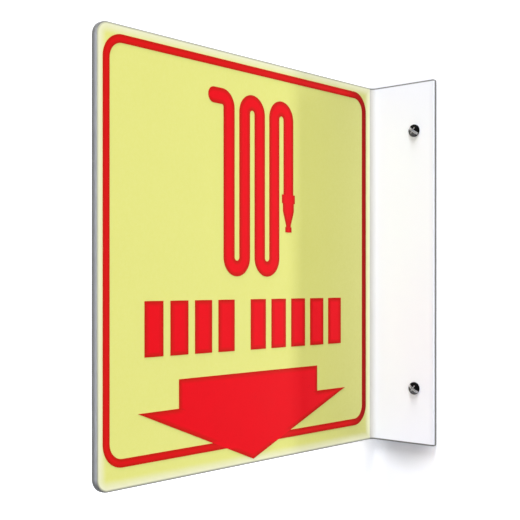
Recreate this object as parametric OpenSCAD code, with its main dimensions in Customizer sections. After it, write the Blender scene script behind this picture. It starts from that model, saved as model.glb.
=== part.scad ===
// Projecting fire hose sign.
// One sheet of white plastic is bent once into an L. The deep leaf stands out from
// the wall, and the narrow leaf is the flange that two screws hold to the wall.
// Both faces of the deep leaf carry luminous film with a legend printed in red.
// X runs along the wall, Y into the wall and Z up. The origin is the middle of the
// flange's back face, which lies on the wall.

/* [Sheet] */
// Height of the sign
sign_h = 203.2; // [175:0.1:400]
// Depth of the leaf, from the flange's front face to the free edge
leaf_d = 203.2; // [180:0.1:400]
// Width of the flange along the wall, over the bend
flange_w = 44.45; // [30:0.05:90]
// Thickness of the sheet
sheet_t = 3.2; // [2:0.1:5]
// Inside radius of the bend
bend_r = 2.4; // [1:0.1:6]
// Corner radius at the free edge
leaf_corner_r = 6.35; // [2:0.05:15]
// Corner radius of the flange
flange_corner_r = 1; // [0.5:0.1:8]

/* [Luminous film] */
// Thickness of the film
film_t = 0.25; // [0.1:0.05:0.6]
// Strip of bare sheet between the film and each cut edge
film_inset = 0.5; // [0.2:0.1:2]
// Gap between the film and the start of the bend
film_bend_gap = 0.3; // [0.1:0.1:3]
// Thickness of the printed ink
ink_t = 0.15; // [0.1:0.01:0.4]

/* [Border] */
// Width of the border line
border_line = 3.8; // [2:0.1:5]
// Outer radius of the border's corners
border_r = 11; // [6:0.5:20]
// Film edge to border, left and right
border_side_gap = 2.9; // [1:0.1:8]
// Film edge to border, top
border_top_gap = 4; // [1:0.1:7]
// Film edge to border, bottom
border_bottom_gap = 9.5; // [8:0.1:12]

/* [Arrow] */
// Width of the arrow's head, tip to tip
arrow_head_w = 152; // [110:1:180]
// Height of the arrow's head
arrow_head_h = 29.5; // [20:0.5:38]
// Width of the arrow's shaft
arrow_shaft_w = 103; // [60:1:108]
// Height of the arrow's shaft
arrow_shaft_h = 13.6; // [6:0.1:22]
// How far the arrow's tip reaches below the border
arrow_drop = 7.1; // [2:0.1:9]
// Arrow's shaft to the blocks above it
arrow_top_gap = 11; // [4:0.1:20]

/* [Hose symbol] */
// Width of the hose's line
hose_line = 7; // [4:0.1:9]
// Distance between neighbouring runs, centre to centre
hose_pitch = 11.4; // [10:0.1:14]
// Number of upright runs, always odd, so that the nozzle hangs down
hose_runs = 5; // [3:2:7]
// Lowest bends up to the tip of the nozzle
nozzle_rise = 23.3; // [8:0.1:40]
// Round start of the hose to the middle of the first run
hose_start_l = 14.2; // [11:0.1:24]
// Radius of the first elbow, along the middle of the line
hose_elbow_r = 4.9; // [3.8:0.1:6]
// Border line to hose symbol
hose_gap = 10.7; // [4:0.1:18]

/* [Nozzle of the symbol] */
// Width of the nozzle's collar
collar_w = 10.2; // [9.4:0.1:12]
// Height of the nozzle's collar
collar_h = 4.7; // [2:0.1:8]
// Width of the nozzle's barrel
barrel_w = 7.9; // [5:0.1:9.2]
// Height of the straight part of the barrel
barrel_h = 4.2; // [1:0.1:8]
// Height of the barrel's taper
taper_h = 7.1; // [3:0.1:12]
// Width of the throat below the taper
throat_w = 3.1; // [2:0.1:4.5]
// Height of the throat
throat_h = 1; // [0.5:0.1:3]
// Width of the nozzle's tip
tip_w = 5.1; // [3.2:0.1:7]
// Height of the nozzle's tip
tip_h = 2.6; // [1:0.1:5]

/* [Plain blocks under the hose] */
// Width of one block
block_w = 11.4; // [8:0.1:12]
// Height of one block
block_h = 25.3; // [10:0.1:34]
// Gap between blocks of one group
block_gap = 4.4; // [2:0.1:6]
// Gap between the two groups
group_gap = 11.8; // [7:0.1:20]
// Blocks in the left group
left_blocks = 4; // [2:1:5]
// Blocks in the right group
right_blocks = 5; // [2:1:5]
// Hose symbol to blocks
block_top_gap = 11.4; // [4:0.1:20]

/* [Screws] */
// Screw centre to the flange's outer edge
screw_edge_gap = 12.5; // [8:0.1:17]
// Upper screw's centre to the top edge
screw_top_gap = 27.4; // [12:0.1:45]
// Lower screw's centre to the bottom edge
screw_bottom_gap = 31.4; // [12:0.1:45]
// Diameter over the thread
thread_d = 3.5; // [2.5:0.1:4.2]
// Diameter of the plain neck under the head
neck_d = 2.9; // [2:0.1:3.4]
// How far the neck reaches past the back of the sheet
neck_past = 0.8; // [0.5:0.1:4]
// Length of the screw under its head
screw_l = 25.4; // [16:0.1:50]
// Length of the tapered point
point_l = 5; // [2:0.1:8]
// Clearance round the thread in its hole
hole_clearance = 0.5; // [0.2:0.1:1]
// Diameter of the head
head_d = 6.9; // [6.4:0.1:10]
// Height of the head
head_h = 2.6; // [2:0.1:4]
// Height of the head's straight rim
rim_h = 0.8; // [0.3:0.1:1.2]
// Width of the slot and of the cross recess
slot_w = 0.9; // [0.6:0.1:1.4]
// Depth of the slot
slot_depth = 1.2; // [0.6:0.1:1.6]
// Length of the short arm that crosses the slot
cross_l = 4.2; // [2.5:0.1:5]
// Turn of the slot, clockwise from level
slot_turn = 28; // [0:1:180]

/* [Hidden] */
$fn = 96;

// How far a cutter reaches past what it cuts
over = 1;

// Places across the wall: the leaf's two faces and the flange's outer edge
back_x = -flange_w / 2;
front_x = back_x + sheet_t;
outer_x = flange_w / 2;

// Places out from the wall
free_y = -sheet_t - leaf_d;
bend_out_r = bend_r + sheet_t;

// The film, the same size and place on both faces
film_w = leaf_d - bend_r - film_bend_gap - film_inset;
film_h = sign_h - 2 * film_inset;
film_mid_y = free_y + film_inset + film_w / 2;
film_top_z = sign_h / 2 - film_inset;
film_corner_r = leaf_corner_r - film_inset;

// The legend is drawn from the middle of the film's top edge, with Y up
border_w = film_w - 2 * border_side_gap;
border_h = film_h - border_top_gap - border_bottom_gap;
border_bottom = -border_top_gap - border_h;

// The arrow and the plain blocks stack up from the border's lower line
arrow_tip_y = border_bottom - arrow_drop;
blocks_y = arrow_tip_y + arrow_head_h + arrow_shaft_h + arrow_top_gap;
block_pitch = block_w + block_gap;
left_group_w = left_blocks * block_pitch - block_gap;
right_group_w = right_blocks * block_pitch - block_gap;
blocks_x = -(left_group_w + group_gap + right_group_w) / 2;

// The hose symbol fills the height that is left, with equal room on its two sides
hose_w = hose_start_l + (hose_runs - 1) * hose_pitch + collar_w / 2;
first_run_x = hose_start_l - hose_w / 2;
bend_mid_r = hose_pitch / 2;
hose_top = -border_top_gap - border_line - hose_gap;
hose_bottom = blocks_y + block_h + block_top_gap;
upper_bend_y = hose_top - hose_line / 2 - bend_mid_r;
lower_bend_y = hose_bottom + hose_line / 2 + bend_mid_r;
nozzle_h = collar_h + barrel_h + taper_h + throat_h + tip_h;
nozzle_y = hose_bottom + nozzle_rise + nozzle_h;

// The screws stand on one upright line
screw_x = outer_x - screw_edge_gap;
screw_z = [sign_h / 2 - screw_top_gap, screw_bottom_gap - sign_h / 2];
hole_d = thread_d + 2 * hole_clearance;
neck_l = sheet_t + neck_past;
dome_h = head_h - rim_h;
dome_r = (pow(head_d / 2, 2) + pow(dome_h, 2)) / (2 * dome_h);
point_d = 0.6;

// What stays off a corner at the origin once it is rounded: the room lies in +X +Y
module corner_waste(r) {
    difference() {
        translate([-over, -over])
            square(r + over);
        translate([r, r])
            circle(r);
    }
}

// Rectangle up and to the right of the origin with all four corners rounded
module round_plate(w, h, r) {
    difference() {
        square([w, h]);
        corner_waste(r);
        translate([w, 0])
            mirror([1, 0])
                corner_waste(r);
        translate([w, h])
            rotate(180)
                corner_waste(r);
        translate([0, h])
            mirror([0, 1])
                corner_waste(r);
    }
}

// The sheet's section as seen from above: an L with a round bend
module sheet_section() {
    difference() {
        translate([back_x, free_y])
            square([flange_w, -free_y]);
        translate([back_x, 0])
            mirror([0, 1])
                corner_waste(bend_out_r);
        difference() {
            translate([front_x, free_y - over])
                square([flange_w, leaf_d + over]);
            translate([front_x, -sheet_t])
                mirror([0, 1])
                    corner_waste(bend_r);
        }
    }
}

// Rounds one corner of the leaf, through its thickness
module leaf_corner_cut() {
    translate([back_x - over, free_y, -sign_h / 2])
        rotate([90, 0, 90])
            linear_extrude(sheet_t + 2 * over)
                corner_waste(leaf_corner_r);
}

// Rounds one corner of the flange, through its thickness
module flange_corner_cut() {
    translate([outer_x, over, -sign_h / 2])
        mirror([1, 0, 0])
            rotate([90, 0, 0])
                linear_extrude(sheet_t + 2 * over)
                    corner_waste(flange_corner_r);
}

module sign_panel() {
    color("white")
        difference() {
            translate([0, 0, -sign_h / 2])
                linear_extrude(sign_h)
                    sheet_section();
            leaf_corner_cut();
            mirror([0, 0, 1])
                leaf_corner_cut();
            flange_corner_cut();
            mirror([0, 0, 1])
                flange_corner_cut();
            for (z = screw_z)
                translate([screw_x, over, z])
                    rotate([90, 0, 0])
                        cylinder(h = sheet_t + 2 * over, d = hole_d);
        }
}

// Lays flat work on the leaf's front face, lifted off it by the given height
module on_front(lift) {
    translate([front_x + lift, film_mid_y, film_top_z])
        rotate([90, 0, 90])
            children();
}

// Lays flat work on the leaf's back face, to be read from behind
module on_back(lift) {
    translate([back_x - lift, film_mid_y, film_top_z])
        rotate([90, 0, -90])
            children();
}

// The film as it is read on the front: round at the free edge, square at the bend
module film_outline() {
    translate([-film_w / 2, -film_h])
        difference() {
            square([film_w, film_h]);
            corner_waste(film_corner_r);
            translate([0, film_h])
                mirror([0, 1])
                    corner_waste(film_corner_r);
        }
}

module glow_film_front() {
    color("khaki")
        on_front(0)
            linear_extrude(film_t)
                film_outline();
}

module glow_film_back() {
    color("khaki")
        on_back(0)
            linear_extrude(film_t)
                mirror([1, 0])
                    film_outline();
}

module border_outline() {
    translate([-border_w / 2, border_bottom])
        difference() {
            round_plate(border_w, border_h, border_r);
            translate([border_line, border_line])
                round_plate(
                    border_w - 2 * border_line,
                    border_h - 2 * border_line,
                    border_r - border_line
                );
        }
}

// Drawn from the arrow's tip, which points down
module arrow_outline() {
    polygon([
        [0, 0],
        [arrow_head_w / 2, arrow_head_h],
        [arrow_shaft_w / 2, arrow_head_h],
        [arrow_shaft_w / 2, arrow_head_h + arrow_shaft_h],
        [-arrow_shaft_w / 2, arrow_head_h + arrow_shaft_h],
        [-arrow_shaft_w / 2, arrow_head_h],
        [-arrow_head_w / 2, arrow_head_h]
    ]);
}

module border_arrow() {
    color("red")
        linear_extrude(ink_t) {
            border_outline();
            translate([0, arrow_tip_y])
                arrow_outline();
        }
}

module border_arrow_front() {
    on_front(film_t)
        border_arrow();
}

module border_arrow_back() {
    on_back(film_t)
        border_arrow();
}

// Part of a ring round the origin, in one quarter or one half of the plane
module bend(mid_r, from, size) {
    intersection() {
        difference() {
            circle(mid_r + hose_line / 2);
            circle(mid_r - hose_line / 2);
        }
        translate(from)
            square(size);
    }
}

// Round start, level stretch and the elbow into the first run
module hose_start() {
    reach = hose_elbow_r + hose_line;
    level_l = hose_start_l - hose_line / 2 - hose_elbow_r;
    mid_y = hose_top - hose_line / 2;
    translate([first_run_x - hose_elbow_r, mid_y - hose_elbow_r])
        bend(hose_elbow_r, [0, 0], [reach, reach]);
    translate([first_run_x - hose_elbow_r - level_l, mid_y - hose_line / 2])
        square([level_l, hose_line]);
    translate([first_run_x - hose_elbow_r - level_l, mid_y])
        circle(hose_line / 2);
}

// Straight upright stretch of the line between two heights
module hose_run(x, top, bottom) {
    translate([x - hose_line / 2, bottom])
        square([hose_line, top - bottom]);
}

// Collar, barrel, throat and tip, hanging down from the origin
module nozzle() {
    barrel_y = -collar_h - barrel_h;
    throat_y = barrel_y - taper_h;
    tip_y = throat_y - throat_h;
    translate([-collar_w / 2, -collar_h])
        square([collar_w, collar_h]);
    polygon([
        [-barrel_w / 2, -collar_h],
        [-barrel_w / 2, barrel_y],
        [-throat_w / 2, throat_y],
        [-throat_w / 2, tip_y],
        [throat_w / 2, tip_y],
        [throat_w / 2, throat_y],
        [barrel_w / 2, barrel_y],
        [barrel_w / 2, -collar_h]
    ]);
    translate([-tip_w / 2, tip_y - tip_h])
        square([tip_w, tip_h]);
}

// A hose laid in upright runs that hang from a level start, with its nozzle down
module hose_outline() {
    reach = bend_mid_r + hose_line;
    last = hose_runs - 1;
    last_x = first_run_x + last * hose_pitch;
    elbow_end_y = hose_top - hose_line / 2 - hose_elbow_r;
    hose_start();
    hose_run(first_run_x, elbow_end_y, lower_bend_y);
    for (i = [1 : last - 1])
        hose_run(first_run_x + i * hose_pitch, upper_bend_y, lower_bend_y);
    hose_run(last_x, upper_bend_y, nozzle_y);
    for (i = [0 : last - 1])
        translate([first_run_x + (i + 0.5) * hose_pitch, i % 2 == 0 ? lower_bend_y : upper_bend_y])
            bend(bend_mid_r, [-reach, i % 2 == 0 ? -reach : 0], [2 * reach, reach]);
    translate([last_x, nozzle_y])
        nozzle();
}

module hose_symbol() {
    color("red")
        linear_extrude(ink_t)
            hose_outline();
}

module hose_symbol_front() {
    on_front(film_t)
        hose_symbol();
}

module hose_symbol_back() {
    on_back(film_t)
        hose_symbol();
}

// One row of plain blocks to the right of the given place
module block_group(x, count) {
    for (i = [0 : count - 1])
        translate([x + i * block_pitch, blocks_y])
            square([block_w, block_h]);
}

module legend_blocks() {
    color("red")
        linear_extrude(ink_t) {
            block_group(blocks_x, left_blocks);
            block_group(blocks_x + left_group_w + group_gap, right_blocks);
        }
}

module legend_blocks_front() {
    on_front(film_t)
        legend_blocks();
}

module legend_blocks_back() {
    on_back(film_t)
        legend_blocks();
}

// Low dome over a straight rim, seated on the origin and rising along +Z
module screw_head() {
    difference() {
        intersection() {
            cylinder(h = head_h, d = head_d);
            translate([0, 0, head_h - dome_r])
                sphere(dome_r);
        }
        translate([-head_d, -slot_w / 2, head_h - slot_depth])
            cube([2 * head_d, slot_w, slot_depth + over]);
        translate([-slot_w / 2, -cross_l / 2, head_h - slot_depth])
            cube([slot_w, cross_l, slot_depth + over]);
    }
}

// Head, plain neck through the sheet, threaded length and tapered point
module wall_screw() {
    screw_head();
    translate([0, 0, -neck_l])
        cylinder(h = neck_l, d = neck_d);
    translate([0, 0, -screw_l + point_l])
        cylinder(h = screw_l - point_l - neck_l, d = thread_d);
    translate([0, 0, -screw_l])
        cylinder(h = point_l, d1 = point_d, d2 = thread_d);
}

module wall_screws() {
    color("#222222")
        for (z = screw_z)
            translate([screw_x, -sheet_t, z])
                rotate([90, slot_turn, 0])
                    wall_screw();
}

sign_panel();
glow_film_front();
glow_film_back();
border_arrow_front();
border_arrow_back();
hose_symbol_front();
hose_symbol_back();
legend_blocks_front();
legend_blocks_back();
wall_screws();
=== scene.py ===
import math

import bmesh
import bpy
import numpy as np
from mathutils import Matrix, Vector


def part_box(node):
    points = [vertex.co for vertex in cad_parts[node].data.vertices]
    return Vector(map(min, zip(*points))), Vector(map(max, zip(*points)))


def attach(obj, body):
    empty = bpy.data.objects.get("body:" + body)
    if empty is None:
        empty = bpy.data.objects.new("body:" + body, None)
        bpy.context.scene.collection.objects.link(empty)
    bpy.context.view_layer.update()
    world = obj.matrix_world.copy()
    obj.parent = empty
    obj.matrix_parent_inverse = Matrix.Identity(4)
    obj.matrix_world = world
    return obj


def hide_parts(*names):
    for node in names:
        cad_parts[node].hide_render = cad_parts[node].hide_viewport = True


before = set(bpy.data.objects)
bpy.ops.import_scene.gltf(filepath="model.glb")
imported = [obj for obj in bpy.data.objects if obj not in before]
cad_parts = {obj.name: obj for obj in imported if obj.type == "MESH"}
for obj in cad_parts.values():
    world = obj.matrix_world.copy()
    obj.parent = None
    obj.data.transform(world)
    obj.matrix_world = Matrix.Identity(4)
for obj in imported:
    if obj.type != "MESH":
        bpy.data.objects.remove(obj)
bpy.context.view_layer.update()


# The bent sheet: one white plastic sheet, cut out with round corners and bent once while warm, into a
# deep leaf and a narrow flange against the wall. The cutter left its edges slightly rounded and grey, and
# the flange has two clearance holes for the screws. Painted shade deepens the grey of the edges and darkens
# the hollow of the bend.
mm = 0.001
sheet_low, sheet_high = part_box("sign_panel")
film_low, film_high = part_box("glow_film_front")
screws_low, screws_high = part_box("wall_screws")
leaf_x = film_low.x
sheet_t = leaf_x - sheet_low.x
half_height = sheet_high.z
bend_r = 2.4 * mm
leaf_corner_r = 6.35 * mm
flange_corner_r = 1.0 * mm
edge_round = 0.7 * mm
edge_hold = 0.4 * mm
hole_r = 2.25 * mm
hole_bevel = 0.2 * mm
hole_block = 5.6 * mm
head_r = 3.45 * mm

# Points closer than weld are joined, and lengths that differ by less than near count as the same.
near = 0.01 * mm
weld = 0.002 * mm

plastic_white = ((0.85, 0.87, 0.935, 1), (0.865, 0.883, 0.94, 1))
# Painted shade for the hollow of the bend:
hollow_shade_white = (0.63, 0.615, 0.57, 1)
# The cut edge's grey is partly its own and partly painted shade, deeper with depth and at the top and bottom
# edges.
cut_grey = ((0.145, 0.145, 0.14, 1), (0.165, 0.165, 0.158, 1))
nick_grey = (0.3, 0.3, 0.28, 1)
cut_shade = 0.68
cut_shade_growth = 0.5
top_bottom_edge_shade = 0.5

bend_x = leaf_x + bend_r
bend_y = sheet_high.y - sheet_t - bend_r
leaf_flat = bend_y - sheet_low.y
bend_length = bend_r * math.pi / 2
flange_flat = sheet_high.x - bend_x
flat_length = leaf_flat + bend_length + flange_flat
screw_x = (screws_low.x + screws_high.x) / 2
screw_heights = (screws_low.z + head_r, screws_high.z - head_r)
hole_s = leaf_flat + bend_length + screw_x - bend_x


def fold(s, z, w):
    """Bends the flat sheet. s runs from the leaf's free edge to the flange's end, z is the height and w
    goes from the visible face into the sheet. Up to the bend a point moves along the leaf, over the bend it
    turns about the bend's centre at radius bend_r + w, and past it it moves along the flange."""
    s, z, w = np.broadcast_arrays(s, z, w)
    along_leaf = np.minimum(s, leaf_flat)
    turn = np.clip((s - leaf_flat) / bend_length, 0, 1) * math.pi / 2
    along_flange = np.maximum(s - leaf_flat - bend_length, 0)
    x = bend_x - (bend_r + w) * np.cos(turn) + along_flange
    y = sheet_low.y + along_leaf + (bend_r + w) * np.sin(turn)
    return np.stack([x, y, z], axis=-1)


def flat_grid(inset):
    """The flat sheet as columns and rows of (s, z), its outline drawn in by inset. A column's half height
    follows a quarter circle at each rounded corner and is the full one between them. The rows and columns
    stand closer round the two holes."""
    turn = np.linspace(0, math.pi / 2, 9)
    leaf_r = leaf_corner_r - inset
    flange_r = flange_corner_r - inset
    straight = np.concatenate([
        np.linspace(leaf_corner_r, leaf_flat - edge_hold, 12)[1:],
        leaf_flat + np.linspace(0, bend_length, 13),
        [leaf_flat + bend_length + edge_hold],
        np.linspace(hole_s - hole_block, hole_s + hole_block, 13),
    ])
    s = np.concatenate([
        leaf_corner_r - leaf_r * np.cos(turn),
        straight,
        flat_length - flange_corner_r + flange_r * np.sin(turn),
    ])
    half = np.concatenate([
        half_height - leaf_corner_r + leaf_r * np.sin(turn),
        np.full(len(straight), half_height - inset),
        half_height - flange_corner_r + flange_r * np.cos(turn),
    ])
    rows = [np.linspace(z - hole_block, z + hole_block, 13) for z in screw_heights]
    face_height = half_height - edge_round - edge_hold
    z = np.concatenate([
        np.linspace(-face_height, rows[0][0], 3)[:-1],
        rows[0],
        np.linspace(rows[0][-1], rows[1][0], 9)[1:-1],
        rows[1],
        np.linspace(rows[1][-1], face_height, 3)[1:],
    ])
    return np.stack(np.broadcast_arrays(s[:, None], half[:, None] * z / face_height), axis=-1)


def rim_of(grid):
    """The points round a grid's edge in order, with the first one again at the end."""
    return np.concatenate([grid[:, 0], grid[-1, 1:], grid[-2::-1, -1], grid[0, -2::-1]])


def mesh_of_grids(name, grids, smooth_angle):
    """One closed mesh from grids of points. A grid is (points, shade, open_cells): shade is the number
    that its points carry to the material, and cells marked open get no face. Points that meet are joined,
    and edges sharper than smooth_angle, in degrees, stay sharp."""
    points, shades, faces = [], [], []
    count = 0
    for grid, shade, open_cells in grids:
        index = count + np.arange(grid[..., 0].size).reshape(grid.shape[:2])
        cells = np.stack([index[:-1, :-1], index[1:, :-1], index[1:, 1:], index[:-1, 1:]], axis=-1)
        faces.append(cells.reshape(-1, 4) if open_cells is None else cells[~open_cells])
        points.append(grid.reshape(-1, 3))
        shades.append(np.broadcast_to(shade, grid.shape[:2]).ravel())
        count += index.size
    mesh = bpy.data.meshes.new(name)
    mesh.from_pydata(np.concatenate(points), [], np.concatenate(faces).tolist())
    mesh.attributes.new("shade", "FLOAT", "POINT").data.foreach_set("value", np.concatenate(shades))
    joined = bmesh.new()
    joined.from_mesh(mesh)
    bmesh.ops.remove_doubles(joined, verts=joined.verts, dist=weld)
    bmesh.ops.recalc_face_normals(joined, faces=joined.faces)
    joined.to_mesh(mesh)
    joined.free()
    mesh.shade_smooth()
    mesh.set_sharp_from_angle(angle=math.radians(smooth_angle))
    piece = bpy.data.objects.new(name, mesh)
    bpy.context.scene.collection.objects.link(piece)
    return piece


def cut_edge():
    """The strip round the sheet's cut edge: a quarter circle from the visible face down to the outline,
    the plain cut, and a quarter circle to the hidden face. Its shade greys the edge, partly the cut's own
    grey and partly painted shade. It grows with the depth below the visible face and fades out over both
    roundings. It is twice as strong along the flange, painted shade is added at the top and the bottom, and
    the front third of the flange's end is left white."""
    turn = np.linspace(0, math.pi / 2, 6)
    rounding = edge_round * (1 - np.cos(turn))
    plain_cut = np.linspace(edge_round, sheet_t - edge_round, 8)[1:-1]
    depths = np.concatenate([[0], rounding, plain_cut, sheet_t - rounding[::-1], [sheet_t]])
    insets = np.concatenate([[edge_round + edge_hold], edge_round - edge_round * np.sin(turn)])
    insets = np.concatenate([insets, np.zeros(len(plain_cut)), insets[::-1]])
    layers = [rim_of(flat_grid(inset)) for inset in insets]
    strip = np.stack([fold(r[:, 0], r[:, 1], d) for r, d in zip(layers, depths)])
    shade = np.minimum(cut_shade + cut_shade_growth * depths / sheet_t, 1)
    shade[[0, 1, -2, -1]] = (0, 0.5, 0.8, 0)
    along, height = layers[len(layers) // 2].T
    stronger = np.interp(along, (leaf_flat, leaf_flat + bend_length), (1, 2))
    # Painted shade added on the top and bottom edges.
    shaded_heights = (half_height - leaf_corner_r, half_height - edge_round)
    added_tone = np.interp(abs(height), shaded_heights, (0, top_bottom_edge_shade))
    shade = np.minimum(shade[:, None] * stronger + np.where(shade[:, None] > 0, added_tone, 0), 1)
    # The front third of the flange's end is left white.
    unshaded_front = np.clip(depths / sheet_t / 0.15 - 1.6, 0, 1)[:, None]
    return strip, shade * np.where(along > flat_length - near, unshaded_front, 1), None


def block_round(flat, height):
    """The block of cells round the hole at this height: its columns and its rows of points in the grid."""
    inside = np.abs(flat - (hole_s, height)).max(axis=-1) < hole_block + near
    columns = np.flatnonzero(inside.any(axis=1))
    rows = np.flatnonzero(inside.any(axis=0))
    return slice(columns[0], columns[-1] + 1), slice(rows[0], rows[-1] + 1)


def pierced_face(depth):
    """One face of the sheet with a ring of cells round each hole: from the block of cells that the ring
    stands in for, each point moves along a straight line to the hole's edge."""
    flat = flat_grid(edge_round + edge_hold)
    open_cells = np.zeros((flat.shape[0] - 1, flat.shape[1] - 1), bool)
    rings = []
    for height in screw_heights:
        columns, rows = block_round(flat, height)
        open_cells[columns.start:columns.stop - 1, rows.start:rows.stop - 1] = True
        outer = rim_of(flat[columns, rows]) - (hole_s, height)
        inner = outer / np.linalg.norm(outer, axis=1, keepdims=True) * (hole_r + hole_bevel)
        share = np.array([0, 0.1, 0.5, 1])[:, None, None]
        ring = (1 - share) * inner + share * outer + (hole_s, height)
        rings.append((fold(ring[..., 0], ring[..., 1], depth), 0, None))
    return [(fold(flat[..., 0], flat[..., 1], depth), 0, open_cells)] + rings


def hole_walls():
    """The walls of the two holes: a short bevel, the straight bore and a short bevel, carried round the
    circle through the same directions as the cells of the faces."""
    flat = flat_grid(edge_round + edge_hold)
    depths = np.array([0, hole_bevel, sheet_t - hole_bevel, sheet_t])[:, None]
    radii = np.array([hole_r + hole_bevel, hole_r, hole_r, hole_r + hole_bevel])[:, None]
    walls = []
    for height in screw_heights:
        outer = rim_of(flat[block_round(flat, height)]) - (hole_s, height)
        angle = np.arctan2(outer[:, 1], outer[:, 0])
        wall = fold(hole_s + radii * np.cos(angle), height + radii * np.sin(angle), depths)
        walls.append((wall, 0.5, None))
    return walls


sheet_grids = pierced_face(0) + pierced_face(sheet_t) + [cut_edge()] + hole_walls()
bent_sheet = mesh_of_grids("bent_sheet", sheet_grids, 32)


class Wire:
    """One output of a node. Sums on it add Math nodes, and make adds any other node to its material."""

    def __init__(self, tree, socket=None):
        self.tree = tree
        self.socket = socket

    def make(self, kind, settings=None, sockets=None, output=0):
        """Adds a node of this kind. Its settings come first, then values or links for its sockets."""
        node = self.tree.nodes.new("ShaderNode" + kind)
        for name, value in (settings or {}).items():
            setattr(node, name, value)
        for name, value in (sockets or {}).items():
            if isinstance(value, Wire):
                self.tree.links.new(value.socket, node.inputs[name])
            else:
                node.inputs[name].default_value = value
        return Wire(self.tree, node.outputs[output])

    def output(self, name):
        """Another output of the node that this one comes from."""
        return Wire(self.tree, self.socket.node.outputs[name])

    def sum(self, operation, first, second=0.0):
        """A Math node on two numbers or outputs."""
        return self.make("Math", {"operation": operation}, {0: first, 1: second})

    def __add__(self, other):
        return self.sum("ADD", self, other)

    def __sub__(self, other):
        return self.sum("SUBTRACT", self, other)

    def __rsub__(self, other):
        return self.sum("SUBTRACT", other, self)

    def __mul__(self, other):
        return self.sum("MULTIPLY", self, other)

    def __abs__(self):
        return self.sum("ABSOLUTE", self)

    __radd__ = __add__
    __rmul__ = __mul__

    def least(self, other):
        """The smaller of two values."""
        return self.sum("MINIMUM", self, other)

    def step(self, start, end):
        """0 where the value is at start, 1 where it is at end, and a smooth rise between them."""
        return self.make("MapRange", {"interpolation_type": "SMOOTHSTEP"},
                         {"Value": self, "From Min": start, "From Max": end})

    def blend(self, first, second):
        """A colour that goes from first to second as the value goes from 0 to 1."""
        return self.make("Mix", {"data_type": "RGBA"}, {0: self, 6: first, 7: second}, output=2)

    def length(self):
        """The length of a vector."""
        return self.make("VectorMath", {"operation": "LENGTH"}, {0: self}, output="Value")

    def places(self):
        """Object coordinates, in metres. No piece is moved, so they are places in the row frame."""
        return self.make("TexCoord", output="Object")

    def axes(self):
        """The three Object coordinates one by one."""
        x = self.make("SeparateXYZ", sockets={"Vector": self.places()})
        return x, x.output("Y"), x.output("Z")

    def placed(self, location, scale):
        """Object coordinates multiplied by scale and then moved by location."""
        sockets = {"Vector": self.places(), "Location": location, "Scale": scale}
        return self.make("Mapping", sockets=sockets)

    def noise(self, size, detail=2.0, stretch=(1, 1, 1)):
        """Cloudy noise from 0 to 1 whose patches are about size metres across, longer where stretch is
        over 1."""
        spread = self.placed((0, 0, 0), [1 / (size * s) for s in stretch])
        return self.make("TexNoise", sockets={"Vector": spread, "Scale": 1.0, "Detail": detail})


def finish_named(name, build, **plain):
    """A material whose shader has plain constants on its own sockets. build gets a first wire and returns
    the links of the sockets that change over the surface, with height as the bump's height in metres."""
    material = bpy.data.materials.new(name)
    material.use_nodes = True
    tree = material.node_tree
    shader = tree.nodes["Principled BSDF"]
    for socket, value in plain.items():
        shader.inputs[socket.replace("_", " ")].default_value = value
    start = Wire(tree)
    links = build(start)
    height = links.pop("height")
    bump = {"Height": height, "Strength": 1.0, "Distance": 1.0}
    links["Normal"] = start.make("Bump", sockets=bump)
    for socket, wire in links.items():
        tree.links.new(wire.socket, shader.inputs[socket])
    return material


def white_plastic(start):
    """Smooth white plastic: faint clouding, a fine orange peel, painted shade in the hollow of the bend, and
    a cut edge that turns grey with its shade, partly its own grey and partly painted shade, and has the
    cutter's streaks and a few small nicks. The hollow lies within about 4 mm of the bend's axis, on the
    leaf's side of it."""
    across_wall, _, _ = start.axes()
    off_axis = start.placed((-bend_x, -bend_y, 0), (1, 1, 0)).length()
    # Painted shade in the hollow of the bend.
    hollow_shade = across_wall.step(bend_x + 1.0 * mm, leaf_x) * off_axis.step(4.6 * mm, 4.0 * mm)
    cut = start.make("Attribute", {"attribute_name": "shade"}, output="Fac")
    cloud = start.noise(30 * mm, 3)
    peel = start.noise(0.9 * mm)
    streaks = start.noise(0.5 * mm, 2, (1, 1, 12))
    nicks = start.noise(2.2 * mm, 3).step(0.66, 0.72) * cut
    edge = (cut * (0.86 + 0.28 * streaks)).least(1.0)
    hollow_shaded = hollow_shade.blend(cloud.blend(*plastic_white), hollow_shade_white)
    colour = edge.blend(hollow_shaded, cloud.blend(*cut_grey))
    return {
        "Base Color": (nicks * 0.5).blend(colour, nick_grey),
        "Roughness": 0.36 + 0.08 * cloud + 0.3 * edge,
        "height": 0.012 * mm * peel + 0.05 * mm * (streaks * edge) - 0.1 * mm * nicks,
    }


sheet_finish = finish_named("white_plastic", white_plastic, IOR=1.47, Specular_IOR_Level=0.3)
bent_sheet.data.materials.append(sheet_finish)
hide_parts("sign_panel")
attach(bent_sheet, "root")


# The luminous films: a pale yellow-green film on each face of the leaf, filled with a pigment that glows
# in the dark. It is laminated to the sheet, matt and faintly grainy. It looks paler along its edges, which
# is a painted highlight, and has a painted shade line along its cut edges and painted shade near the bend.
film_corner_r = leaf_corner_r - (film_low.y - sheet_low.y)
# Painted highlight along the film's edges, a painted shade line along its cut edges, and painted shade near
# the bend:
highlight_edge = 0.8 * mm
shade_line_width = 0.95 * mm
near_bend_width = 62 * mm
film_green = ((0.82, 0.822, 0.213, 1), (0.845, 0.847, 0.238, 1))
shaded_green = (0.69, 0.69, 0.225, 1)
grain_green = (0.93, 0.94, 0.42, 1)
highlight_green = (0.92, 0.92, 0.62, 1)
edge_shade_olive = (0.34, 0.34, 0.27, 1)


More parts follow.
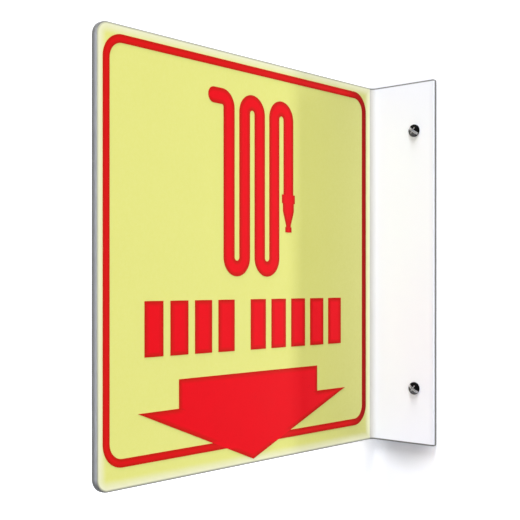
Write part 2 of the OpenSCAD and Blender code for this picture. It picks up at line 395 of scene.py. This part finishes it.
def luminous_film(start):
    """Yellow-green film: soft clouding, pigment grains of two sizes, a pale margin, a painted highlight
    whose share grows towards the nearest edge, a thin line of painted shade along the cut edges, darker
    towards the bottom, and painted shade near the bend. Near a cut edge the way inward is the corner radius
    r less the distance from the point where both short ways, of the depth and the height, are r, so that it
    follows the round corners."""
    _, across, up = start.axes()
    short_depth = film_corner_r - (across - film_low.y).least(film_corner_r)
    short_height = film_corner_r - (film_high.z - abs(up)).least(film_corner_r)
    off_corner = start.sum("SQRT", short_depth * short_depth + short_height * short_height)
    inward = film_corner_r - off_corner
    # A painted highlight along the edges and a thin painted shade line, darker towards the bottom.
    ragged = inward.least(film_high.y - across) + 0.5 * mm * start.noise(3 * mm)
    edge_highlight = ragged.step(film_corner_r, highlight_edge)
    edge_shade = inward.step(shade_line_width, 0) * (0.66 + 0.3 * up.step(0, film_low.z))
    cloud = start.noise(45 * mm, 3)
    grain = start.noise(0.45 * mm, 1)
    coarse = start.noise(1.6 * mm, 2)
    grained = (0.55 * grain + 0.45 * coarse).step(0.25, 0.75)
    # Painted shade near the bend.
    near_bend_shade = across.step(film_high.y - near_bend_width, film_high.y + 6 * mm)
    shaded_near_bend = near_bend_shade.blend(cloud.blend(*film_green), shaded_green)
    body = (0.16 * grained).blend(shaded_near_bend, grain_green)
    return {
        "Base Color": edge_shade.blend(edge_highlight.blend(body, highlight_green), edge_shade_olive),
        "Roughness": 0.5 + 0.12 * grain,
        "height": 0.01 * mm * grain + 0.012 * mm * coarse,
    }


film_finish = finish_named("luminous_film", luminous_film, IOR=1.45, Specular_IOR_Level=0.12)
for node in ("glow_film_front", "glow_film_back"):
    for material_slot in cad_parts[node].material_slots:
        material_slot.material = film_finish


# The printed symbols: the border with its arrow, the hose with its nozzle, and the plain blocks, all one
# signal red ink, pressed through a fine screen onto each film. The screen leaves a faint weave in the ink.
film_middle = (film_low.y + film_high.y) / 2

# Places in a symbol count to the right and up from the middle of the film's top edge, and a profile holds
# heights and half widths, from the top down.
border_sides = (-97.05 * mm, 95.8 * mm)
border_ends = (-192.85 * mm, -3.9 * mm)
border_r = 11 * mm
border_line = 3.75 * mm
border_thinner = 0.02 * mm
arrow_middle = -0.65 * mm
arrow_profile = mm * np.array([
    (-156.8, 0), (-156.85, 51.4), (-170.45, 51.4), (-170.5, 76.4), (-200.4, 0),
])
block_pitch = 15.8 * mm
block_middles = np.concatenate([
    -66.9 * mm + block_pitch * np.arange(4),
    3.7 * mm + block_pitch * np.arange(5),
])
block_profile = mm * np.array([(-120.4, 0), (-120.45, 5.7), (-145.65, 5.7), (-145.7, 0)])
hose_line = 7.75 * mm
hose_pitch = 11.26 * mm
hose_runs = 5
hose_first = -18.4 * mm
hose_start = -32.8 * mm
hose_start_top = -21.8 * mm
hose_top = -22.2 * mm
hose_bottom = -105.2 * mm
elbow_r = 4.9 * mm
nozzle_profile = mm * np.array([
    (-66.3, 3.875), (-66.4, 5.17), (-70.8, 5.17), (-70.9, 4.35), (-75.0, 4.35), (-82.2, 1.85),
    (-83.15, 1.85), (-83.25, 2.45), (-85.9, 2.45), (-86.0, 0),
])

ink_rim = 2.4 * mm
rim_share = 0.42
rim_fade = 1.2 * mm
screen_pitch = 0.42 * mm
ink_red = ((0.87, 0.004, 0.011, 1), (0.93, 0.005, 0.014, 1))
# Painted light that brightens the ink in the leaf's shaded part.
lifted_red = (1.0, 0.011, 0.021, 1)
rim_red = (0.55, 0.014, 0.004, 1)
# Painted shade that darkens the ink near the bend.
shaded_red = (0.3, 0.006, 0.005, 1)
speck_red = (0.7, 0.005, 0.01, 1)


def rounded_outline(inset):
    """The border's outline drawn in by inset, once round: a quarter circle at each corner, clockwise from
    the upper left one, and the first point again at the end."""
    left, right = border_sides[0] + inset, border_sides[1] - inset
    bottom, top = border_ends[0] + inset, border_ends[1] - inset
    r = border_r - inset
    middles = np.array([
        (left + r, top - r), (right - r, top - r), (right - r, bottom + r), (left + r, bottom + r),
    ])
    angle = np.linspace(math.pi, math.pi / 2, 13) - np.arange(4)[:, None] * math.pi / 2
    corners = middles[:, None] + r * np.stack([np.cos(angle), np.sin(angle)], axis=-1)
    return np.concatenate([corners.reshape(-1, 2), corners[0, :1]])


def hose_bend(middle, radius, start, end):
    """The hose's line round a bend, from one angle to another in degrees, as rows of a place, the way to
    the left of the line, which points outwards where the line turns right, and half the line's width."""
    angle = np.radians(np.linspace(start, end, abs(end - start) // 6 + 1))
    outward = np.stack([np.cos(angle), np.sin(angle)], axis=-1)
    half = np.full((len(angle), 1), hose_line / 2)
    return np.hstack([np.add(middle, radius * outward), math.copysign(1, start - end) * outward, half])


def hose_edges():
    """The hose symbol's left and right edge. Its line starts with half a circle, turns down, hangs in
    upright runs that lower and upper bends join, and ends in the nozzle, whose half width follows the
    nozzle's profile. An edge is the line plus or less half its width, square to it."""
    turn = np.linspace(0, math.pi / 2, 10)
    flat = 0 * turn
    half = hose_line / 2
    start = np.stack([
        hose_start + half - half * np.cos(turn), flat + hose_start_top, flat, flat + 1, half * np.sin(turn),
    ], axis=-1)
    stretches = [start, hose_bend((hose_first - elbow_r, hose_start_top - elbow_r), elbow_r, 90, 0)]
    bend = hose_pitch / 2
    for run in range(hose_runs - 1):
        middle_x = hose_first + (run + 0.5) * hose_pitch
        if run % 2 == 0:
            stretches.append(hose_bend((middle_x, hose_bottom + bend), bend, 180, 360))
        else:
            stretches.append(hose_bend((middle_x, hose_top - bend), bend, 180, 0))
    height, half = nozzle_profile.T
    upright = 0 * height
    last_x = upright + hose_first + (hose_runs - 1) * hose_pitch
    stretches.append(np.stack([last_x, height, upright + 1, upright, half], axis=-1))
    line = np.concatenate(stretches)
    to_edge = line[:, 2:4] * line[:, 4:]
    return line[:, :2] + to_edge, line[:, :2] - to_edge


def line_top(left, right):
    """The top of a printed line between two rows of places, and its shade, which is 1 at both edges and
    falls evenly to 0 at the rim's width further in."""
    width = np.linalg.norm(right - left, axis=1, keepdims=True)
    share = np.minimum(ink_rim / np.maximum(width, near), rim_share)
    inner = np.maximum(1 - share * width / ink_rim, 0)
    edge = np.ones_like(inner)
    inward = share * (right - left)
    grid = np.stack([left, left + inward, right - inward, right], axis=1)
    return grid, np.hstack([edge, inner, inner, edge])


def upright_top(middle, profile, columns):
    """The top of a shape that is the same on both sides of an upright line, from its profile. Its shade is
    1 on the outline and falls to 0 at the rim's width further in, by each point's distance to the nearest
    side: what is left of the way to a side's start once the part along that side is taken off."""
    between = np.arange(profile[-1, 0], profile[0, 0], 0.8 * mm)
    height = np.unique(np.concatenate([profile[:, 0], between]))[::-1]
    half = np.interp(-height, -profile[:, 0], profile[:, 1])
    across = np.sin(np.linspace(-math.pi / 2, math.pi / 2, columns))
    grid = np.stack(np.broadcast_arrays(half[:, None] * across, height[:, None]), axis=-1)
    right_side = profile[:, ::-1]
    outline = np.concatenate([right_side, right_side[-2::-1] * (-1, 1)])
    start, side = outline[:-1], np.diff(outline, axis=0)
    way = grid[:, :, None] - start
    along = np.clip((way * side).sum(axis=-1) / (side ** 2).sum(axis=-1), 0, 1)
    distance = np.linalg.norm(way - along[..., None] * side, axis=-1).min(axis=-1)
    return grid + (middle, 0), np.maximum(1 - distance / ink_rim, 0)


def ink_layer(face, grid, shade, thinner=0.0):
    """Ink on one face whose top is this grid: a closed ring of the top, an upright edge on both sides and
    the seat on the film. On the back a place to the right counts towards the free edge."""
    low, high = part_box(f"hose_symbol_{face}")
    seat, top, reading = (low.x, high.x, 1) if face == "front" else (high.x, low.x, -1)
    ring, ring_shade = (np.concatenate([g[:, :1], g, g[:, -1:], g[:, :1]], axis=1) for g in (grid, shade))
    depth = np.full(ring_shade.shape, top - reading * thinner)
    depth[:, [0, -2, -1]] = seat
    places = [depth, film_middle + reading * ring[..., 0], film_high.z + ring[..., 1]]
    return np.stack(places, axis=-1), ring_shade, None


def red_ink(start):
    """Screen ink: an even red with faint thick and thin patches, browner on its rims, brighter on the side
    of the wall, which is painted light, and darker near the bend, which is painted shade. The height follows
    the screen's two sets of threads, one wave along the leaf times one wave up it."""
    _, across, up = start.axes()
    turns = 2 * math.pi / screen_pitch
    weave = start.sum("SINE", across * turns) * start.sum("SINE", up * turns)
    patches = start.noise(12 * mm, 4)
    specks = start.noise(0.8 * mm, 2)
    # Painted light: brighter in the leaf's shaded part.
    painted_lift = across.step(film_high.y - 76 * mm, film_high.y - 56 * mm)
    rim = start.make("Attribute", {"attribute_name": "shade"}, output="Fac")
    # Painted shade: darker near the bend.
    near_bend_shade = across.step(film_high.y - 26 * mm, film_high.y)
    lifted = painted_lift.blend(patches.blend(*ink_red), lifted_red)
    rimmed = (rim * (0.9 + 0.2 * patches)).blend(lifted, rim_red)
    shaded_near_bend = near_bend_shade.blend(rimmed, shaded_red)
    return {
        "Base Color": (0.5 * specks.step(0.62, 0.8)).blend(shaded_near_bend, speck_red),
        "Roughness": 0.42 + 0.14 * patches,
        "height": 0.004 * mm * weave + 0.01 * mm * specks,
    }


ink_finish = finish_named("red_ink", red_ink, IOR=1.45, Specular_IOR_Level=0.03)
arrow_grid, arrow_shade = upright_top(arrow_middle, arrow_profile, 61)
off_line = np.abs(arrow_grid[..., 1] - border_ends[0] - border_line / 2) - border_line / 2
arrow_shade = arrow_shade * np.clip(off_line / rim_fade, 0, 1)
block_tops = [upright_top(arrow_middle + middle, block_profile, 13) for middle in block_middles]
for face in ("front", "back"):
    border = ink_layer(face, *line_top(rounded_outline(0), rounded_outline(border_line)), border_thinner)
    prints = {
        "border_arrow": [border, ink_layer(face, arrow_grid, arrow_shade)],
        "hose_symbol": [ink_layer(face, *line_top(*hose_edges()))],
        "legend_blocks": [ink_layer(face, *top) for top in block_tops],
    }
    for node, grids in prints.items():
        piece = mesh_of_grids(f"printed_{node}_{face}", grids, 30)
        piece.data.materials.append(ink_finish)
        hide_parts(f"{node}_{face}")
        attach(piece, "root")


# The wall screws: two black coated steel screws with a low domed head and a rolled thread. The head has
# one long slot and a shorter arm across it, which show pale steel, and the head's lower half is grey.
head_top = screws_low.y
seat_y = sheet_high.y - sheet_t
rim_y = seat_y - 0.8 * mm
tip_y = screws_high.y
dome_r = (head_r ** 2 + (rim_y - head_top) ** 2) / (2 * (rim_y - head_top))
slot_half = 0.45 * mm
slot_floor = head_top + 1.75 * mm
slot_turn = math.radians(-36)
arm_half_length = 2.1 * mm
arm_floor = head_top + 0.8 * mm
wall_lean = 0.07 * mm
neck_r = 1.45 * mm
crest_r = 1.75 * mm
root_r = 1.25 * mm
thread_start = 0.8 * mm
thread_pitch = 1.4 * mm
ridge_share = 0.24
point_length = 5 * mm
point_blunt = 0.12
coat_black = (0.002, 0.002, 0.002, 1)
scuff_grey = (0.06, 0.06, 0.06, 1)
# Grey for the lower half of the head:
lower_head_grey = (0.048, 0.05, 0.06, 1)
bare_steel = (0.56, 0.56, 0.57, 1)


def head_lines():
    """Lines across the head: evenly turned near the rim and single lines at both walls of the slot, so
    that each wall stands between two lines."""
    outer = head_r * np.cos(np.linspace(0, math.pi / 2, 15))
    walls = np.array([arm_half_length, arm_half_length - wall_lean, slot_half, slot_half - wall_lean])
    free = outer[np.abs(outer[:, None] - walls).min(axis=1) > 0.12 * mm]
    half = np.unique(np.concatenate([free, walls, [head_r]]))
    return np.concatenate([-half[::-1], half])


def head_dome():
    """The head's top as heights over lines across it. A line's points run along its chord, with fixed ones
    at the arm's walls. The height is the dome's sphere, and in the slot and the arm it is each one's
    floor."""
    u = head_lines()[:, None]
    chord = np.sqrt(np.maximum(head_r ** 2 - u ** 2, 0))
    fixed = np.array([slot_half - wall_lean, slot_half])
    share = np.linspace(0, 1, 9)[1:]
    beyond = slot_half + np.maximum(chord - slot_half, 0) * share
    half = np.concatenate([np.broadcast_to(fixed, (len(u), 2)), beyond], axis=1)
    v = np.minimum(np.concatenate([-half[:, ::-1], half], axis=1), chord)
    v = np.maximum(v, -chord)
    mid_wall = slot_half - wall_lean / 2
    in_slot = np.abs(u) < mid_wall
    in_arm = (np.abs(v) < mid_wall) & (np.abs(u) < arm_half_length - wall_lean / 2)
    dome = head_top + dome_r - np.sqrt(dome_r ** 2 - u ** 2 - v ** 2)
    floor_height = np.where(in_slot, slot_floor, np.where(in_arm, arm_floor, dome))
    # Grey on the lower half of the head, and pale steel in the slot and the arm.
    added_tone = np.where(u < 0, 0.45, 0.0)
    on_slot = np.abs(u) < slot_half + wall_lean / 2
    paleness = np.where(on_slot, 1.0, np.where(floor_height > dome, 0.8, added_tone))
    return np.broadcast_to(u, v.shape), v, np.maximum(floor_height, dome), paleness


def shank(angle):
    """The rest of the screw, turned round its axis: rim, seat, neck, thread and point. The thread is a
    ridge that climbs one pitch a turn, and its crest and root both shrink to the point."""
    along = np.arange(thread_start, tip_y, thread_pitch / 14)
    to_tip = (tip_y - along) / point_length
    phase = np.mod(along[:, None] / thread_pitch - angle / (2 * math.pi), 1)
    ridge = np.clip(1 - np.abs(phase - 0.5) / ridge_share, 0, 1)
    ends = np.clip((along - thread_start) / thread_pitch, 0, 1) * np.clip(to_tip, 0, 1)
    radius = root_r + (crest_r - root_r) * ridge * ends[:, None]
    radius = radius * np.clip(to_tip, point_blunt, 1)[:, None]
    plain = np.array([
        (head_r, rim_y), (head_r, seat_y - 0.15 * mm), (head_r - 0.15 * mm, seat_y), (neck_r, seat_y),
        (neck_r, thread_start - 0.5 * mm), (root_r, thread_start - 0.1 * mm),
    ])
    closing = np.array([(0.1 * mm, tip_y), (0, tip_y)])
    plain_r, closing_r = (np.repeat(p[:, :1], angle.size, axis=1) for p in (plain, closing))
    radius = np.concatenate([plain_r, radius, closing_r])
    depth = np.concatenate([plain[:, 1], along, closing[:, 1]])
    bare = np.concatenate([
        np.zeros((len(plain), angle.size)), 0.8 * ridge, np.full((len(closing), angle.size), 0.8),
    ])
    return radius, depth[:, None], bare


def screw_grids(height):
    """One screw in the row frame. The head's lines are turned by the slot's angle about the screw's axis,
    and the shank starts from the same points round the rim."""
    u, v, y, bare = head_dome()
    along, across = math.cos(slot_turn), math.sin(slot_turn)
    head_x = screw_x + v * along - u * across
    head_z = height + v * across + u * along
    edge = rim_of(np.stack([head_x - screw_x, head_z - height], axis=-1))
    angle = np.arctan2(edge[:, 1], edge[:, 0])
    radius, depth, paleness = shank(angle)
    turned = np.stack(np.broadcast_arrays(
        screw_x + radius * np.cos(angle), depth, height + radius * np.sin(angle)), axis=-1)
    return [(np.stack([head_x, y, head_z], axis=-1), bare, None), (turned, paleness, None)]


wall_screws = mesh_of_grids("black_wall_screws", [g for z in screw_heights for g in screw_grids(z)], 40)


def black_coating(start):
    """Black coated steel: nearly black with faint grey scuffs, grey on the lower half of the head, pale
    steel in the slot and the arm, and bare pale steel where the wall has worn the thread's crests, broken up
    by fine noise."""
    paleness = start.make("Attribute", {"attribute_name": "shade"}, output="Fac")
    rub = start.noise(0.5 * mm, 3)
    bare = (paleness * (0.55 + 0.9 * rub)).step(0.35, 0.9)
    scuff = start.noise(0.9 * mm, 4, (1, 1, 3)).step(0.55, 0.75)
    black = (0.1 * scuff).blend(coat_black, scuff_grey)
    greyed = (paleness * (1.2 + 1.6 * rub)).least(1.0).blend(black, lower_head_grey)
    return {
        "Base Color": bare.blend(greyed, bare_steel),
        "Metallic": 0.3 * bare,
        "Roughness": 0.42 + 0.15 * rub,
        "height": 0.01 * mm * rub,
    }


screw_finish = finish_named("black_coating", black_coating, IOR=1.5, Specular_IOR_Level=0.02)
wall_screws.data.materials.append(screw_finish)
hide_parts("wall_screws")
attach(wall_screws, "root")


# The wall and the floor of the studio: smooth pale board. The wall stands against the flange's back and
# is open from behind, and both look white to the camera and keep the sign's shadow.
wall_y = sheet_high.y + 0.1 * mm
floor_z = -0.45
wall_top = 3
reach = 3
bounce_grey = (0.3, 0.3, 0.3, 1)
board_white = (0.735, 0.745, 0.77, 1)
board_glow = 0.27
shadow_middle = (-1 * mm, 0, half_height)
shadow_shape = (0.85, 1, 1)


def board(name, corners):
    """A flat four-sided board through these corners, which run round leftwards as seen from its face."""
    mesh = bpy.data.meshes.new(name)
    mesh.from_pydata(corners, [], [(0, 1, 2, 3)])
    piece = bpy.data.objects.new(name, mesh)
    bpy.context.scene.collection.objects.link(piece)
    piece.visible_shadow = False
    return piece


def seen_directly(start):
    """1 for rays from the camera, off a mirror or through glass, and 0 for the light on the object."""
    ray = start.make("LightPath", output="Is Camera Ray")
    return (ray + ray.output("Is Glossy Ray") + ray.output("Is Transmission Ray")).least(1.0)


def studio_white(name):
    """Matt board that is open from behind. Its paint is darker for the light that it throws back on the
    sign than for the camera and for mirror rays. They also see a plain glow, which is full at the sides
    and well below the sign and half as strong near it. The glow leaves out a soft round patch under the
    flange, so that the flange's shadow shows there, and is a little stronger under the leaf's end."""
    material = bpy.data.materials.new(name)
    material.use_nodes = True
    tree = material.node_tree
    tree.nodes.remove(tree.nodes["Principled BSDF"])
    start = Wire(tree)
    viewed = seen_directly(start)
    matt = start.make("BsdfDiffuse", sockets={"Color": viewed.blend(bounce_grey, board_white)})
    across, _, up = start.axes()
    away = start.placed(shadow_middle, shadow_shape).length().step(5.5 * mm, 20 * mm)
    lower = up.step(-half_height - 25 * mm, -half_height - 60 * mm)
    sides = (across.step(-18 * mm, -34 * mm) + across.step(14 * mm, 36 * mm) + lower).least(1.0)
    foot = across.step(-8 * mm, -19 * mm) * up.step(-half_height, -half_height - 10 * mm)
    glow = viewed * (board_glow * (away + sides + 0.4 * foot))
    front = start.make("AddShader", sockets={0: matt, 1: start.make("Emission", sockets={"Strength": glow})})
    behind = start.make("NewGeometry", output="Backfacing")
    open_back = start.make("MixShader", sockets={0: behind, 1: front, 2: start.make("BsdfTransparent")})
    tree.links.new(open_back.socket, tree.nodes["Material Output"].inputs["Surface"])
    return material


wall = board("studio_wall", [
    (-reach, wall_y, floor_z), (reach, wall_y, floor_z),
    (reach, wall_y, wall_top), (-reach, wall_y, wall_top),
])
floor = board("studio_floor", [
    (-reach, -reach, floor_z), (reach, -reach, floor_z),
    (reach, reach, floor_z), (-reach, reach, floor_z),
])
for surface in (wall, floor):
    surface.data.materials.append(studio_white(surface.name + "_paint"))


# The lights: softboxes beside the camera and in front, the front one a little cool, a long one overhead
# near the wall, which throws the soft shadow under the flange, a narrow one behind on the right, whose
# light the flange keeps off the leaf's end, and a wide one behind on the left for the leaf's hidden face.
sign_middle = Vector((0, -100 * mm, 0))


def softbox(name, direction, distance, width, height, share, colour=(1, 1, 1)):
    """An area lamp that looks at the sign's middle. share is how much of a facing surface's own colour it
    lights: the power for that is share times the square of pi times the distance."""
    lamp = bpy.data.lights.new(name, "AREA")
    lamp.color = colour
    lamp.shape = "RECTANGLE"
    lamp.size, lamp.size_y = width, height
    lamp.energy = share * (math.pi * distance) ** 2
    piece = bpy.data.objects.new(name, lamp)
    bpy.context.scene.collection.objects.link(piece)
    towards = Vector(direction).normalized()
    piece.location = sign_middle + towards * distance
    piece.rotation_euler = towards.to_track_quat("Z", "Y").to_euler()


softbox("camera_side_softbox", (0.88, -0.46, 0.12), 2.2, 1.4, 1.4, 0.24)
softbox("front_softbox", (0.1, -1.0, 0.1), 2.4, 0.8, 1.4, 0.21, (0.92, 0.98, 1.2))
softbox("overhead_softbox", (0.44, -0.95, 3.1), 3.3, 1.0, 1.7, 1.3)
softbox("back_right_softbox", (0.484, 0.875, 0.0), 1.6, 0.12, 1.0, 0.44)
softbox("back_left_softbox", (-0.75, 0.6, 0.25), 2.2, 1.4, 1.4, 0.85)


# The room: even white light from all round, as between pale walls. The camera and the mirror rays see it
# as plain white, and the object gets only a share of it.
room_share = 0.29
world = bpy.data.worlds.new("room")
bpy.context.scene.world = world
world.use_nodes = True
background = world.node_tree.nodes["Background"]
background.inputs["Color"].default_value = (1, 1, 1, 1)
strength = room_share + (1 - room_share) * seen_directly(Wire(world.node_tree))
world.node_tree.links.new(strength.socket, background.inputs["Strength"])


# The camera: where the photograph was taken from, found from the sign's own corners. It looks level at
# the leaf's visible face from the flange's side, and its lens is raised in its frame, so uprights stay
# upright.
camera_azimuth = math.radians(41.62)
camera_distance = 493.9 * mm
aim_right = 2.36 * mm
aim_up = -11.47 * mm
raise_px = 23.53
sensor = 36.0
image_px = 520
focal_px = 982.0

back = Vector((math.sin(camera_azimuth), -math.cos(camera_azimuth), 0))
right = Vector((math.cos(camera_azimuth), math.sin(camera_azimuth), 0))
lens = bpy.data.cameras.new("camera")
lens.sensor_width = sensor
lens.lens = sensor * focal_px / image_px
lens.shift_y = raise_px / image_px
lens.clip_start, lens.clip_end = 0.01, 20
camera = bpy.data.objects.new("camera", lens)
bpy.context.scene.collection.objects.link(camera)
bpy.context.scene.camera = camera
leaf_middle = Vector((leaf_x, (sheet_low.y + seat_y) / 2, 0))
camera.location = leaf_middle + right * aim_right + Vector((0, 0, aim_up)) + back * camera_distance
camera.rotation_mode = "QUATERNION"
camera.rotation_quaternion = (-back).to_track_quat("-Z", "Y")
bpy.context.scene.view_settings.view_transform = "Standard"
